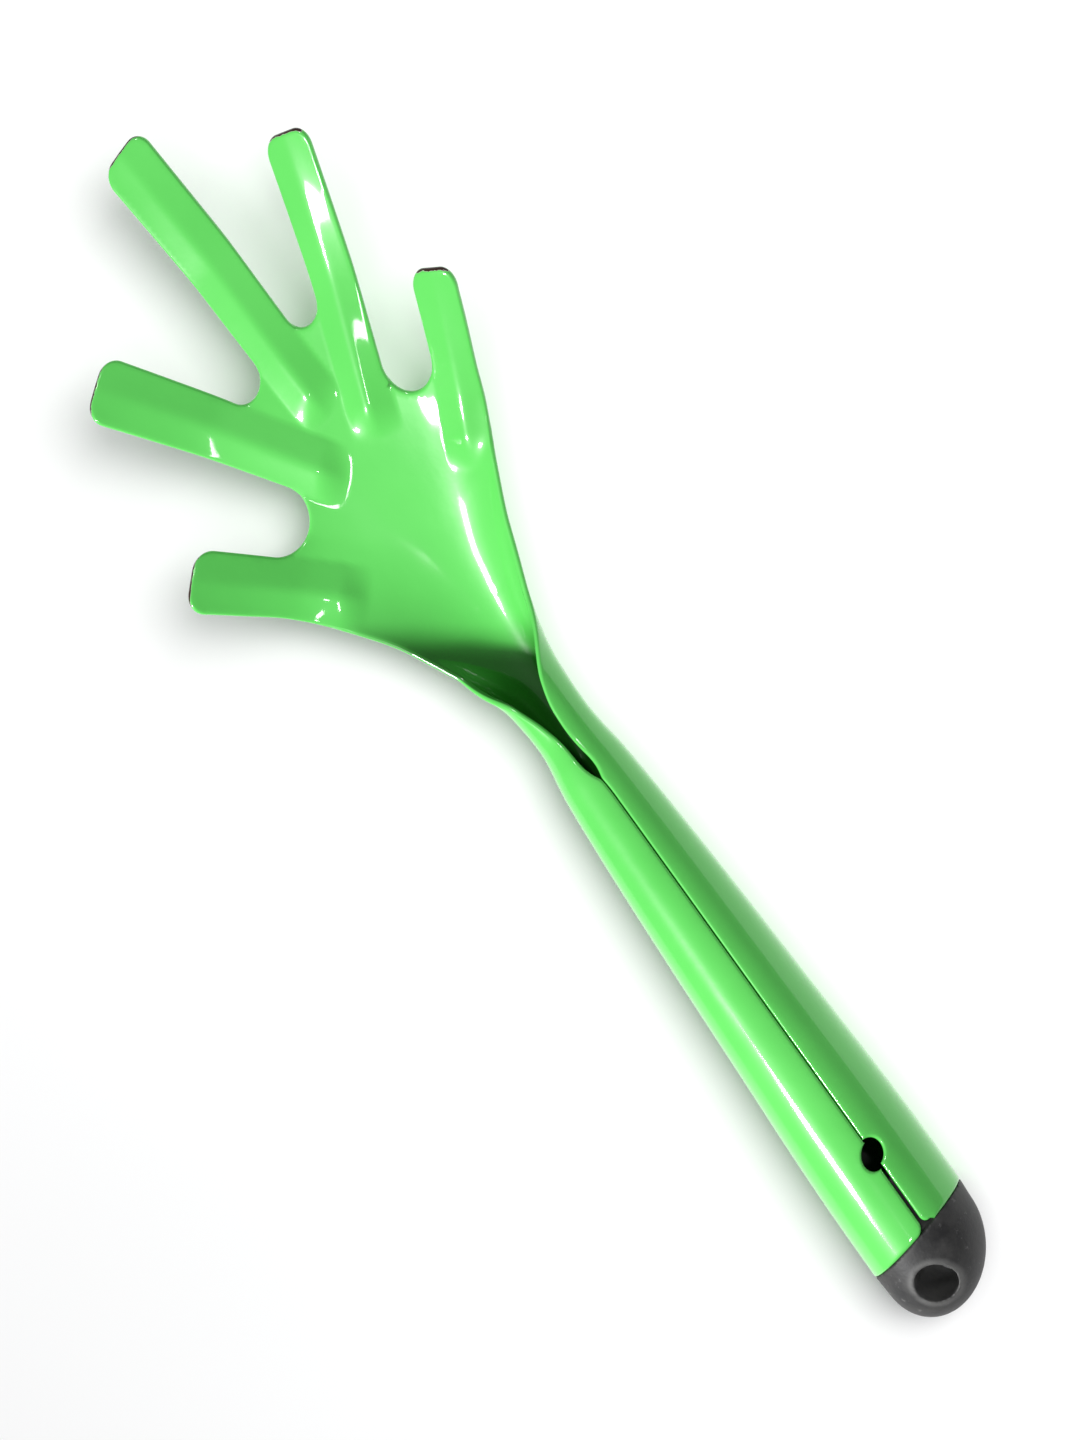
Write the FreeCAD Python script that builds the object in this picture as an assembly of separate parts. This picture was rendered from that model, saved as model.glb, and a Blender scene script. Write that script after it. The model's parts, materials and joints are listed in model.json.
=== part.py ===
import FreeCAD, Part
import math
import os

# Hand rake: one steel blank, pressed into a five-finger head and rolled into a
# tubular handle, with a moulded plug in the open end of the tube.
#
# The tool lies on its back. +X runs along the handle from the plug to the finger
# tips, +Z is the open (palm) side, and z = 0 is the axis of the tube. Distances
# along the handle are measured from the rim of the tube. All sizes are in mm.

Vector = FreeCAD.Vector
os.makedirs("parts", exist_ok=True)

# --- sheet -------------------------------------------------------------------
SHEET = 1.5                # thickness of the steel
END_RADIUS = 15.0          # outside radius of the tube at its rim
MIDDLE_RADIUS = 13.2       # outside radius at MIDDLE_AT
MIDDLE_AT = 60.0
THROAT_RADIUS = 9.6        # outside radius where the seam opens
THROAT_AT = 124.0
NECK_RADIUS = 7.9          # outside radius of the open neck at its narrowest
NECK_AT = 138.0

# --- seam of the tube --------------------------------------------------------
SEAM_TURN = 24.0           # degrees that the seam sits round from the palm side
SEAM_GAP = 0.8             # gap from the rim to the seam hole
SEAM_HAIRLINE = 0.3        # gap beyond the seam hole
SEAM_SLIP = 0.8            # one edge of the blank ends this much short of the other
SEAM_CORNER = 2.0          # corner radius of the blank at the rim
SEAM_HOLE_DIAMETER = 6.6
SEAM_HOLE_AT = 20.0

# --- palm and fingers --------------------------------------------------------
PALM_BEND_RADIUS = 92.0    # cross bend of the palm at the roots of the fingers
BACK_BOW = 9.2             # height of the palm's middle line at the finger roots
FINGER_TAPER = 0.7         # degrees that each side of a finger opens to the tip
TIP_CORNER = 4.0           # corner radius of a finger tip
KNUCKLE_BEND = 11.0        # degrees that a finger turns up beyond its knuckle
RIDGE_HEIGHT = 2.6         # height of the pressed ridge at the finger's root
RIDGE_TIP_HEIGHT = 0.5
RIDGE_HALF_WIDTH = 6.6
RIDGE_ROUND = 0.2          # roundness of the crest, as a share of the half width
RIDGE_RUN_IN = 8.0         # length over which a ridge grows out of the palm


class Finger:
    """A straight finger, by its tip, its angle to the handle and its lengths."""

    def __init__(self, tip_at, tip_side, turn, width, knuckle, ridge):
        self.tip = (tip_at, tip_side)
        self.turn = math.radians(turn)
        self.half = width / 2
        self.knuckle = knuckle
        self.ridge = ridge

    def local(self, along, side):
        """Distance beyond the tip and distance to the +Y side of the axis."""
        u = along - self.tip[0]
        v = side - self.tip[1]
        c = math.cos(self.turn)
        s = math.sin(self.turn)
        return u * c + v * s, v * c - u * s

    def point(self, beyond, across):
        """Plan position from finger coordinates."""
        c = math.cos(self.turn)
        s = math.sin(self.turn)
        return (
            self.tip[0] + beyond * c - across * s,
            self.tip[1] + beyond * s + across * c,
        )

    def edge(self, side):
        """A point and a direction of one long edge; side is +1 or -1."""
        angle = self.turn + side * math.radians(FINGER_TAPER)
        return self.point(0, side * self.half), (math.cos(angle), math.sin(angle))

    def mirrored(self):
        turn = math.degrees(-self.turn)
        width = 2 * self.half
        return Finger(self.tip[0], -self.tip[1], turn, width, self.knuckle, self.ridge)


# tip distance, tip offset, angle, width, tip to knuckle, tip to the ridge's start
centre = Finger(296.0, 0.0, 0.0, 14.0, 30.0, 73.0)
middle = Finger(267.5, 36.6, 28.7, 13.2, 29.0, 64.0)
outer = Finger(223.4, 45.8, 38.5, 12.6, 25.0, 42.0)
FINGERS = [outer.mirrored(), middle.mirrored(), centre, middle, outer]

INNER_NOTCH_AT = 244.6     # centre of the round notch beside the centre finger
OUTER_NOTCH_AT = 217.9     # centre of the round notch beside an outer finger
NOTCHES_AT = [OUTER_NOTCH_AT, INNER_NOTCH_AT, INNER_NOTCH_AT, OUTER_NOTCH_AT]

# --- plug --------------------------------------------------------------------
DOME_LENGTH = 15.0         # rounded end of the plug
COLLAR_LENGTH = 4.6        # nearly straight part between the rim and the dome
COLLAR_STEP = 0.1          # step from the rim of the tube down to the collar
DOME_STEP = 0.3            # taper of the collar toward the dome
COLLAR_RADIUS = END_RADIUS - COLLAR_STEP
DOME_RADIUS = COLLAR_RADIUS - DOME_STEP
SHANK_LENGTH = 14.0
SHANK_LEAD = 1.5           # chamfer on the end of the shank
SHANK_CLEARANCE = 0.1      # between the shank and the tightest part of the tube
HANG_HOLE_DIAMETER = 10.0
HANG_HOLE_FROM_TIP = 9.4

# --- lean of the finished tool ------------------------------------------------
# The tool is shaped square and symmetric first. Both pieces are then slid and
# stretched along the handle. A lean of 0 and a factor of 1 leave it square.
LEAN = 15.0                # degrees that the rim and the fan lean to the -Y side
LENGTH_FACTOR = 1.057

# --- how finely the formed sheet is drawn ------------------------------------
ACROSS = 60
LAST_AT = 304.0


def smooth(x):
    """0 to 1 with level ends."""
    x = min(max(x, 0.0), 1.0)
    return x * x * (3 - 2 * x)


def curve(points):
    """A smooth function through hand-set points, without overshoot."""
    xs = [p[0] for p in points]
    ys = [p[1] for p in points]
    steps = [(ys[i + 1] - ys[i]) / (xs[i + 1] - xs[i]) for i in range(len(xs) - 1)]
    slopes = [steps[0]]
    for before, after in zip(steps, steps[1:]):
        if before * after <= 0:
            slopes.append(0.0)
        else:
            slopes.append(2 * before * after / (before + after))
    slopes.append(steps[-1])

    def value(x):
        if x <= xs[0]:
            return ys[0]
        if x >= xs[-1]:
            return ys[-1]
        i = max(k for k in range(len(xs) - 1) if xs[k] <= x)
        h = xs[i + 1] - xs[i]
        t = (x - xs[i]) / h
        rise = ys[i + 1] - ys[i]
        a = slopes[i] * h - rise
        b = rise - slopes[i + 1] * h
        return ys[i] + t * rise + t * (1 - t) * (a * (1 - t) + b * t)

    return value


MID = SHEET / 2

# Bend radius of the sheet's middle surface, from the rim to the finger tips.
bend_radius = curve([
    (0, END_RADIUS - MID),
    (16, END_RADIUS - MID - 0.1),
    (MIDDLE_AT, MIDDLE_RADIUS - MID),
    (THROAT_AT - 26, MIDDLE_RADIUS - MID - 1.8),
    (THROAT_AT, THROAT_RADIUS - MID),
    (NECK_AT, NECK_RADIUS - MID),
    (NECK_AT + 10, NECK_RADIUS - MID + 0.6),
    (162, 12.8),
    (177, 28),
    (188, 52),
    (200, PALM_BEND_RADIUS),
    (LAST_AT, PALM_BEND_RADIUS),
])

# Height of the sheet's middle line. It follows the tube, then bows upward.
ROOTS_AT = 242.0
middle_line = curve([
    (NECK_AT - 8, -bend_radius(NECK_AT - 8)),
    (148, -7.6),
    (162, -6.8),
    (177, -4.4),
    (200, 0.8),
    (228, 0.76 * BACK_BOW),
    (ROOTS_AT, BACK_BOW),
    (266, BACK_BOW + 2.2),
    (LAST_AT, BACK_BOW + 4.6),
])


def height_of_middle(along):
    if along < NECK_AT - 8:
        return -bend_radius(along)
    return middle_line(along)


def side_of_head(along):
    """Half width of the blank where it follows the outer finger's long edge."""
    (at, side), (run, rise) = outer.edge(1)
    offset = side + (along - at) * rise / run
    radius = bend_radius(along)
    return radius * math.asin(min(offset / radius, 1.0))


# Half width of the flat blank where it isn't closed to a tube.
OPENS_AFTER = THROAT_AT - 12
open_half = curve([
    (OPENS_AFTER, 37.0),
    (THROAT_AT - 1, 27.9),
    (THROAT_AT + 6, 23.9),
    (NECK_AT, 20.9),
    (143, 20.3),
    (148, 19.5),
    (153, 18.5),
    (158, 17.6),
    (162, 17.3),
    (166, 18.3),
    (177, 22.0),
    (188, 28.0),
    (202, side_of_head(202)),
    (211, side_of_head(211)),
    (220, side_of_head(220)),
    (227, side_of_head(227)),
    (240, 60.0),
    (LAST_AT, 60.0),
])


def half_of_blank(along):
    past_hole = smooth((along - SEAM_HOLE_AT) / 4 + 0.5)
    gap = SEAM_GAP + (SEAM_HAIRLINE - SEAM_GAP) * past_hole
    closed = math.pi * bend_radius(along) - gap / 2
    if along < OPENS_AFTER:
        return closed
    return min(closed, open_half(along))


def seam_turn(along):
    """The seam's turn round the tube, in radians; the palm has none."""
    fade = smooth((along - THROAT_AT + 6) / 30)
    return math.radians(SEAM_TURN) * (1 - fade)


def pressed(along, side):
    """Height that the ridges and the knuckle bends add to the bare dish."""
    total = 0.0
    for finger in FINGERS:
        beyond, across = finger.local(along, side)
        reach = abs(across)
        window = 1 - smooth((reach - finger.half - 1.5) / 4.5)
        if window > 0:
            d = beyond + finger.knuckle
            bent = (d + math.hypot(d, 3.0)) / 2
            total += window * bent * math.tan(math.radians(KNUCKLE_BEND))
        if reach < RIDGE_HALF_WIDTH:
            grown = smooth((beyond + finger.ridge) / RIDGE_RUN_IN)
            toward_tip = min(max(1 + beyond / finger.ridge, 0.0), 1.0)
            height = RIDGE_HEIGHT + (RIDGE_TIP_HEIGHT - RIDGE_HEIGHT) * toward_tip
            full = math.hypot(1, RIDGE_ROUND)
            here = math.hypot(reach / RIDGE_HALF_WIDTH, RIDGE_ROUND)
            total += grown * height * (full - here) / (full - RIDGE_ROUND)
    return total


def sheet_point(along, share):
    """A point of the formed sheet; share runs -1 to 1 across the blank."""
    radius = bend_radius(along)
    angle = share * half_of_blank(along) / radius + seam_turn(along)
    y = radius * math.sin(angle)
    z = height_of_middle(along) + radius * (1 - math.cos(angle))
    if along > 170:
        z += pressed(along, y)
    return Vector(along, y, z)


def sheet_normal(along, share):
    """Unit normal toward the open side, square to the axis at the rim."""
    step = 0.5
    back = max(along - step, 0.0)
    left = sheet_point(along, min(share + 0.01, 1.0))
    right = sheet_point(along, max(share - 0.01, -1.0))
    ahead = sheet_point(along + step, share) - sheet_point(back, share)
    normal = ahead.cross(left - right)
    if along <= 0:
        normal.x = 0
    return normal.normalize()


def stations():
    """Distances along the handle, closer together where the shape is busier."""
    at = [0.0]
    while at[-1] < LAST_AT:
        if at[-1] < 108:
            step = 6.0
        elif at[-1] < 190:
            step = 3.0
        else:
            step = 2.0
        at.append(min(at[-1] + step, LAST_AT))
    return at


def smooth_surface(rows):
    """A cubic B-spline surface whose poles are the given rows of points."""
    count_u = len(rows)
    count_v = len(rows[0])

    def knots(count, degree):
        inner = count - degree - 1
        values = [i / (inner + 1) for i in range(inner + 2)]
        return values, [degree + 1] + [1] * inner + [degree + 1]

    u_degree = min(3, count_u - 1)
    u_knots, u_mults = knots(count_u, u_degree)
    v_knots, v_mults = knots(count_v, 3)
    surface = Part.BSplineSurface()
    surface.buildFromPolesMultsKnots(
        rows, u_mults, v_mults, u_knots, v_knots, False, False, u_degree, 3
    )
    return surface


def formed_sheet():
    """The whole formed sheet as a closed solid, before its outline is cut."""
    at = stations()
    shares = [-1 + 2 * j / ACROSS for j in range(ACROSS + 1)]
    inside = []
    outside = []
    for along in at:
        points = [sheet_point(along, share) for share in shares]
        normals = [sheet_normal(along, share) for share in shares]
        inside.append([p + n * MID for p, n in zip(points, normals)])
        outside.append([p - n * MID for p, n in zip(points, normals)])
    rims = [[grid[end] for grid in (inside, outside)] for end in (0, -1)]
    sides = [[[row[end] for row in grid] for grid in (inside, outside)] for end in (0, -1)]
    surfaces = [inside, outside] + rims + sides
    shell = Part.makeShell([smooth_surface(rows).toShape() for rows in surfaces])
    shell.sewShape()
    solid = Part.makeSolid(Part.Shell(shell.Faces))
    if solid.Volume < 0:
        solid.reverse()
    return solid


def crossing(line_a, line_b):
    """Where two plan lines meet."""
    (ax, ay), (adx, ady) = line_a
    (bx, by), (bdx, bdy) = line_b
    det = adx * bdy - ady * bdx
    t = ((bx - ax) * bdy - (by - ay) * bdx) / det
    return ax + t * adx, ay + t * ady


def foot(point, line):
    """The point of a plan line that is nearest to a point."""
    (ax, ay), (dx, dy) = line
    t = (point[0] - ax) * dx + (point[1] - ay) * dy
    return ax + t * dx, ay + t * dy


def notch(finger_a, finger_b, centre_at):
    """Tangent points and lowest point of the round notch between two fingers."""
    edge_a = finger_a.edge(1)
    edge_b = finger_b.edge(-1)
    apex = crossing(edge_a, edge_b)
    dx = edge_a[1][0] + edge_b[1][0]
    dy = edge_a[1][1] + edge_b[1][1]
    run = (centre_at - apex[0]) / dx
    middle_point = (centre_at, apex[1] + run * dy)
    start = foot(middle_point, edge_a)
    end = foot(middle_point, edge_b)
    radius = math.dist(middle_point, start)
    length = math.hypot(dx, dy)
    bottom = (
        middle_point[0] - radius * dx / length,
        middle_point[1] - radius * dy / length,
    )
    return start, bottom, end


def head_outline():
    """Plan outline of the hand, run wide round the neck and the handle."""
    wide = 90.0
    overrun = 0.15         # an outer tip corner crosses the blank's own edge
    floor = -60.0

    def at(point):
        return Vector(point[0], point[1], floor)

    edges = []
    first = at((-30, -wide))
    last = first
    quarter = math.sqrt(0.5)
    for i, finger in enumerate(FINGERS):
        half_low = finger.half + (overrun if i == 0 else 0)
        half_high = finger.half + (overrun if i == len(FINGERS) - 1 else 0)
        r = TIP_CORNER
        low_side = at(finger.point(-r, -half_low))
        if i == 0:
            corner = at(finger.point(-r, -wide))
            edges.append(Part.LineSegment(last, corner))
            last = corner
        edges.append(Part.LineSegment(last, low_side))
        low_mid = at(finger.point(-r + r * quarter, -half_low + r - r * quarter))
        low_end = at(finger.point(0, -half_low + r))
        edges.append(Part.Arc(low_side, low_mid, low_end))
        high_end = at(finger.point(0, half_high - r))
        edges.append(Part.LineSegment(low_end, high_end))
        high_mid = at(finger.point(-r + r * quarter, half_high - r + r * quarter))
        high_side = at(finger.point(-r, half_high))
        edges.append(Part.Arc(high_end, high_mid, high_side))
        last = high_side
        if i < len(FINGERS) - 1:
            start, bottom, end = notch(finger, FINGERS[i + 1], NOTCHES_AT[i])
            edges.append(Part.LineSegment(last, at(start)))
            edges.append(Part.Arc(at(start), at(bottom), at(end)))
            last = at(end)
    corner = at(FINGERS[-1].point(-TIP_CORNER, wide))
    back = at((-30, wide))
    edges.append(Part.LineSegment(last, corner))
    edges.append(Part.LineSegment(corner, back))
    edges.append(Part.LineSegment(back, first))
    wire = Part.Wire([edge.toShape() for edge in edges])
    return Part.Face(wire).extrude(Vector(0, 0, 140))


def seam_cutters():
    """Half notches of the seam hole and the rounded corners at the rim."""
    turn = SEAM_TURN
    tall = 12.0
    base = END_RADIUS - 6
    cutters = []
    for side in (-1, 1):
        slip = SEAM_SLIP if side < 0 else 0.0
        hole_at = SEAM_HOLE_AT + (SEAM_SLIP if side < 0 else 0.0)
        bore = Part.makeCylinder(SEAM_HOLE_DIAMETER / 2, tall, Vector(hole_at, 0, base))
        half = Part.makeBox(20, 10, tall, Vector(hole_at - 10, 0 if side > 0 else -10, base))
        cutters.append(bore.common(half))
        corner_at = slip + SEAM_CORNER
        edge_at = side * SEAM_GAP / 2
        size = SEAM_CORNER
        low = min(edge_at, edge_at + side * size)
        block = Part.makeBox(corner_at + 1, size, tall, Vector(-1, low, base))
        round_at = Vector(corner_at, edge_at + side * size, base)
        cutters.append(block.cut(Part.makeCylinder(size, tall, round_at)))
    for cutter in cutters:
        cutter.rotate(Vector(0, 0, 0), Vector(1, 0, 0), turn)
    return cutters


def leaned(shape):
    """The shape slid along the handle in step with its distance to the side."""
    matrix = FreeCAD.Matrix()
    matrix.A11 = LENGTH_FACTOR
    matrix.A12 = -math.tan(math.radians(LEAN))
    return shape.transformGeometry(matrix)


def rake_body():
    body = leaned(formed_sheet()).common(leaned(head_outline()))
    return body.cut([leaned(cutter) for cutter in seam_cutters()])


def end_cap():
    tip = -(COLLAR_LENGTH + DOME_LENGTH)
    tightest = bend_radius(SHANK_LENGTH) - MID
    shank = tightest - SHANK_CLEARANCE
    lead = SHANK_LENGTH - SHANK_LEAD
    collar = -COLLAR_LENGTH

    def at(along, radius):
        return Vector(along, 0, radius)

    tip_end = at(tip, 0)
    side_end = at(collar, DOME_RADIUS)
    far_end, near_end = tip_end, side_end
    if DOME_RADIUS > DOME_LENGTH:
        far_end, near_end = side_end, tip_end
    dome = Part.Ellipse(far_end, near_end, at(collar, 0))
    quarter = Part.ArcOfEllipse(dome, 0, math.pi / 2).toShape()
    lines = [
        Part.makeLine(at(collar, DOME_RADIUS), at(0, COLLAR_RADIUS)),
        Part.makeLine(at(0, COLLAR_RADIUS), at(0, shank)),
        Part.makeLine(at(0, shank), at(lead, shank)),
        Part.makeLine(at(lead, shank), at(SHANK_LENGTH, shank - SHANK_LEAD / 2)),
        Part.makeLine(at(SHANK_LENGTH, shank - SHANK_LEAD / 2), at(SHANK_LENGTH, 0)),
        Part.makeLine(at(SHANK_LENGTH, 0), at(tip, 0)),
    ]
    face = Part.Face(Part.Wire([quarter] + lines))
    return face.revolve(Vector(0, 0, 0), Vector(1, 0, 0), 360)


def hang_hole():
    """The bore for hanging. It is cut after the lean, so that it stays round."""
    radius = HANG_HOLE_DIAMETER / 2
    hole_at = LENGTH_FACTOR * (HANG_HOLE_FROM_TIP - COLLAR_LENGTH - DOME_LENGTH)
    low = Vector(hole_at, 0, -2 * END_RADIUS)
    return Part.makeCylinder(radius, 4 * END_RADIUS, low)


body = rake_body()
cap = leaned(end_cap()).cut(hang_hole())
shapes = {"rake_body": body, "end_cap": cap}

# The origin is the middle of the tool's length and width, at its lowest point.
slope = math.tan(math.radians(LEAN))
corner_at = centre.tip[0] - TIP_CORNER
corner_side = centre.half - TIP_CORNER
corner_reach = TIP_CORNER * math.hypot(LENGTH_FACTOR, slope)
front = LENGTH_FACTOR * corner_at + slope * corner_side + corner_reach
dome_reach = math.hypot(LENGTH_FACTOR * DOME_LENGTH, slope * DOME_RADIUS)
back = -LENGTH_FACTOR * COLLAR_LENGTH - dome_reach
to_origin = Vector(-(front + back) / 2, 0, END_RADIUS)
print("from", round(back, 3), "to", round(front, 3))
for name, shape in shapes.items():
    shape.translate(to_origin)
    shape.exportStep("parts/" + name + ".step")
    print(name, "valid", shape.isValid(), "solids", len(shape.Solids),
          "volume", round(shape.Volume))
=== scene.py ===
# %% [markdown]
# # A hand rake in green enamel
# This lesson dresses a pressed-steel hand rake. Its frame holds two pieces: the
# rake body, which is one sheet of steel for fingers, palm and handle, and the
# plug in the end of the handle. We make both again with finer surfaces, give them
# paint and plastic, and set them on a pale studio floor.

# %% Load the frame
import json
import math
import bpy
from mathutils import Matrix, Vector

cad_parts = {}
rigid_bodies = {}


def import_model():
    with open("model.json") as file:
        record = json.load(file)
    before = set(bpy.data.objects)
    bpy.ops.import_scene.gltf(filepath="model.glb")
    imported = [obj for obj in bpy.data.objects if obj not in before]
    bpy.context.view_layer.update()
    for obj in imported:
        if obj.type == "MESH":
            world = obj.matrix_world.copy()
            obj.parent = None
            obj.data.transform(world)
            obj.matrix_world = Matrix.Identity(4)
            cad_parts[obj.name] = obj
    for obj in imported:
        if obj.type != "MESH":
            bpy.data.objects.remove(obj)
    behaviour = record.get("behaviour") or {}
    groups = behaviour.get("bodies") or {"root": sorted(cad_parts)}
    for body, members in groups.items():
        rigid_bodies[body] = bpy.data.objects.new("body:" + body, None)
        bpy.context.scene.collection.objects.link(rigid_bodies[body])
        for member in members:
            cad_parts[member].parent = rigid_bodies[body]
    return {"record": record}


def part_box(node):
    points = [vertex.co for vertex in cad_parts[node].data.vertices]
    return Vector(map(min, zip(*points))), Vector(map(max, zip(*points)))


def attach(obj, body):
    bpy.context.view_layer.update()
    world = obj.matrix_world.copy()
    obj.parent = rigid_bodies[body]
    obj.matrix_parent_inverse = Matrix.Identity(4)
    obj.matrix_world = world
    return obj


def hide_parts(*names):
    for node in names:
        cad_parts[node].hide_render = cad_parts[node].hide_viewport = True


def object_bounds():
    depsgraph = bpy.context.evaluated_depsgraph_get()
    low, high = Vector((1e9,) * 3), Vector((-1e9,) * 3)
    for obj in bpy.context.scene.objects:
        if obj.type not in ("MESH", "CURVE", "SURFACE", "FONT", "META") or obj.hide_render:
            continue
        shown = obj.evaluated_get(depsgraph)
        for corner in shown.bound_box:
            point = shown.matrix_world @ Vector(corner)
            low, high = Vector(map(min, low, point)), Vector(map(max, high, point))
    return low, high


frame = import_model()
cad_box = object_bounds()
MM = 0.001
body_low, body_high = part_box("rake_body")
cap_low, cap_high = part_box("end_cap")
print("rake body from", body_low, "to", body_high)
print("end cap from", cap_low, "to", cap_high)

# %% [markdown]
# ## Node materials without typing
# A material is a small graph of nodes. Two helpers keep the graphs short: `node`
# adds a node and fills in its inputs, and `wire` joins an output to an input.

# %% Helpers for materials


def new_material(name):
    material = bpy.data.materials.new(name)
    material.use_nodes = True
    tree = material.node_tree
    shader = tree.nodes["Principled BSDF"]
    return material, tree, shader


def node(tree, kind, inputs=None, **settings):
    made = tree.nodes.new(kind)
    for key, value in settings.items():
        setattr(made, key, value)
    for key, value in (inputs or {}).items():
        made.inputs[key].default_value = value
    return made


def wire(tree, out_of, output, into, socket):
    tree.links.new(out_of.outputs[output], into.inputs[socket])


def noise(tree, scale, detail=3.0, roughness=0.5):
    """A noise pattern that is fixed to the object."""
    coordinates = node(tree, "ShaderNodeTexCoord")
    inputs = {"Scale": scale, "Detail": detail, "Roughness": roughness}
    pattern = node(tree, "ShaderNodeTexNoise", inputs)
    wire(tree, coordinates, "Object", pattern, "Vector")
    return pattern


def ramp(tree, source, output, stops):
    """Colours along a 0 to 1 value, from a list of (position, colour)."""
    made = node(tree, "ShaderNodeValToRGB")
    elements = made.color_ramp.elements
    while len(elements) < len(stops):
        elements.new(0.5)
    for element, (position, colour) in zip(elements, stops):
        element.position = position
        element.color = colour
    wire(tree, source, output, made, "Fac")
    return made


def grey(value):
    return (value, value, value, 1.0)


print("material helpers ready")

# %% [markdown]
# ## Green enamel
# The rake is dipped or sprayed in one thick, glossy coat of light green enamel. A
# coat like this is never quite flat: it has a faint orange-peel ripple, a slight
# change of shade where it ran thicker, and tiny specks of dust. We make the ripple
# from noise in a Bump node and put the gloss on the shader itself.

# %% Enamel
ENAMEL_THIN = (0.105, 0.610, 0.098, 1.0)
ENAMEL_THICK = (0.125, 0.670, 0.115, 1.0)

enamel, tree, shader = new_material("green_enamel")
shade = noise(tree, 26.0, 4.0)
tint = ramp(tree, shade, "Fac", [(0.3, ENAMEL_THIN), (0.7, ENAMEL_THICK)])
gloss = noise(tree, 60.0, 3.0)
gloss_ramp = ramp(tree, gloss, "Fac", [(0.3, grey(0.30)), (0.75, grey(0.42))])
wire(tree, gloss_ramp, "Color", shader, "Roughness")
peel = noise(tree, 420.0, 2.0)
waves = noise(tree, 70.0, 2.0)
peel_bump = node(tree, "ShaderNodeBump", {"Strength": 0.05, "Distance": 0.0004})
wave_bump = node(tree, "ShaderNodeBump", {"Strength": 0.10, "Distance": 0.0012})
wire(tree, peel, "Fac", peel_bump, "Height")
wire(tree, waves, "Fac", wave_bump, "Height")
wire(tree, peel_bump, "Normal", wave_bump, "Normal")
wire(tree, wave_bump, "Normal", shader, "Normal")
shader.inputs["IOR"].default_value = 1.5
shader.inputs["Specular IOR Level"].default_value = 0.2
shader.inputs["Coat Weight"].default_value = 1.0
shader.inputs["Coat Roughness"].default_value = 0.07
print("made", enamel.name)

# %% [markdown]
# The throat of the palm and the tube get painted shade: a darker green in the
# colour itself, reaching further up one wall of the throat, where that wall's
# shadow would fall. A point attribute holds it, from 0 on the palm to 1 in the
# tube, and a Mix node takes the colour down with it.

# %% Painted shade in the throat and the tube
PAINTED_SHADE_GREEN = (0.012, 0.150, 0.008, 1.0)


def blend_colours(tree, factor, factor_output, low, low_output, high):
    """One colour output that goes to the fixed colour `high` as the factor grows."""
    made = node(tree, "ShaderNodeMix", data_type="RGBA")
    tree.links.new(factor.outputs[factor_output], made.inputs[0])
    tree.links.new(low.outputs[low_output], made.inputs[6])
    made.inputs[7].default_value = high
    return made


# Painted shade: the throat and tube are darkened in the colour itself, where the palm's walls would shade
# them.
painted_shade = node(tree, "ShaderNodeAttribute", attribute_name="painted_shade")
shaded_tint = blend_colours(tree, painted_shade, "Fac", tint, "Color", PAINTED_SHADE_GREEN)
print("inside colour", PAINTED_SHADE_GREEN)

# %% [markdown]
# Digging knocks the enamel off the ends of the fingers first. There the sheet's edge
# shows dark primer and rust, with pale chipped rims round it. Chips live where two
# things meet: a small distance to the edge at a finger's tip, and a high value of a
# fine noise.

# %% Chips at the finger tips
RUST = (0.035, 0.014, 0.008, 1.0)
PRIMER = (0.62, 0.60, 0.55, 1.0)


def math_node(tree, operation, first, second):
    """A Math node; each side is a number or a (node, output) pair."""
    made = node(tree, "ShaderNodeMath", operation=operation)
    for socket, value in zip(made.inputs, (first, second)):
        if isinstance(value, tuple):
            tree.links.new(value[0].outputs[value[1]], socket)
        else:
            socket.default_value = value
    return made


tip_far = node(tree, "ShaderNodeAttribute", attribute_name="tip_distance")
edge_far = node(tree, "ShaderNodeAttribute", attribute_name="edge_distance")
chip_noise = noise(tree, 420.0, 4.0, 0.7)
near_tip = math_node(tree, "MULTIPLY", (tip_far, "Fac"), 0.35)
near_edge = math_node(tree, "MULTIPLY", (edge_far, "Fac"), 0.9)
far = math_node(tree, "ADD", (near_tip, "Value"), (near_edge, "Value"))
lift = math_node(tree, "ADD", (far, "Value"), 0.18)
rough_far = math_node(tree, "SUBTRACT", (lift, "Value"), (chip_noise, "Fac"))
rust_mask = ramp(tree, rough_far, "Value", [(0.0, grey(1.0)), (0.03, grey(0.0))])
pale_mask = ramp(tree, rough_far, "Value", [(0.04, grey(1.0)), (0.08, grey(0.0))])
chipped = blend_colours(tree, pale_mask, "Color", shaded_tint, 2, PRIMER)
rusted = blend_colours(tree, rust_mask, "Color", chipped, 2, RUST)
tree.links.new(rusted.outputs[2], shader.inputs["Base Color"])
print("chips of", PRIMER, "round", RUST)

# %% [markdown]
# ## Charcoal plastic
# The plug is moulded in a dark, matt plastic. The mould was sand-blasted, so the
# skin is finely grained, and dust and handling have left it mottled, with a few
# pale scuffs.

# %% Plastic
PLASTIC_DARK = (0.014, 0.014, 0.015, 1.0)
PLASTIC_PALE = (0.048, 0.047, 0.046, 1.0)
SCUFF = (0.16, 0.16, 0.155, 1.0)
LIP_HIGHLIGHT = (0.17, 0.17, 0.165, 1.0)

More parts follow.
